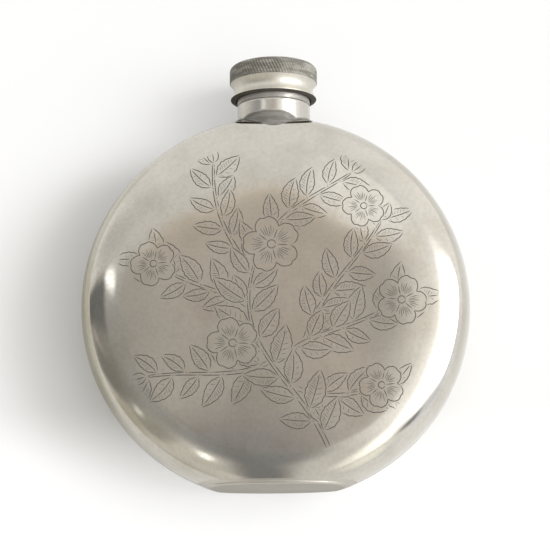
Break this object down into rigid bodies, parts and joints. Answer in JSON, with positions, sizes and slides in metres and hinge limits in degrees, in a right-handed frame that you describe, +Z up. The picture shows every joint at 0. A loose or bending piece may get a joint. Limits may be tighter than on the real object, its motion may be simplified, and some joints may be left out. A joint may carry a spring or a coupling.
{
  "type": "pewter hip flask",
  "caption": "Round domed pewter hip flask that stands on a flat base plate, with a saddle collar, a turned spout and a milled screw cap that turns and rises on its thread.",
  "frame": {"origin": "centre of the base plate's underside, where the flask stands", "axes": "+Z up along the neck, -Y out of the engraved front face, +X to the right seen from the front"},
  "size_m": [0.11, 0.0292, 0.1229],
  "materials": {
    "pewter_polished": "polished pewter with soft patina and fine scratches",
    "pewter_turned": "turned pewter, bright on the collar and spout",
    "pewter_cap": "turned pewter with a milled rim and darker flutes",
    "seal_rubber": "matt dark rubber"
  },
  "bodies": {
    "flask": {"front_shell": "pewter_polished", "back_shell": "pewter_polished", "base_plate": "pewter_polished", "neck_collar": "pewter_turned", "spout": "pewter_turned"},
    "seal": {"cap_seal": "seal_rubber"},
    "cap": {"cap_shell": "pewter_cap"}
  },
  "joints": [
    {"name": "cap_rise", "type": "slide", "parent": "flask", "child": "seal", "axis": [0, 0, 1], "range_m": [0, 0.0075]},
    {"name": "cap_turn", "type": "hinge", "parent": "seal", "child": "cap", "pos_m": [0, 0, 0.1117], "axis": [0, 0, 1], "range_deg": [0, 1080]}
  ],
  "couplings": [
    {"joint": "cap_rise", "follows": "cap_turn", "m_per_rad": 0.00039788}
  ]
}
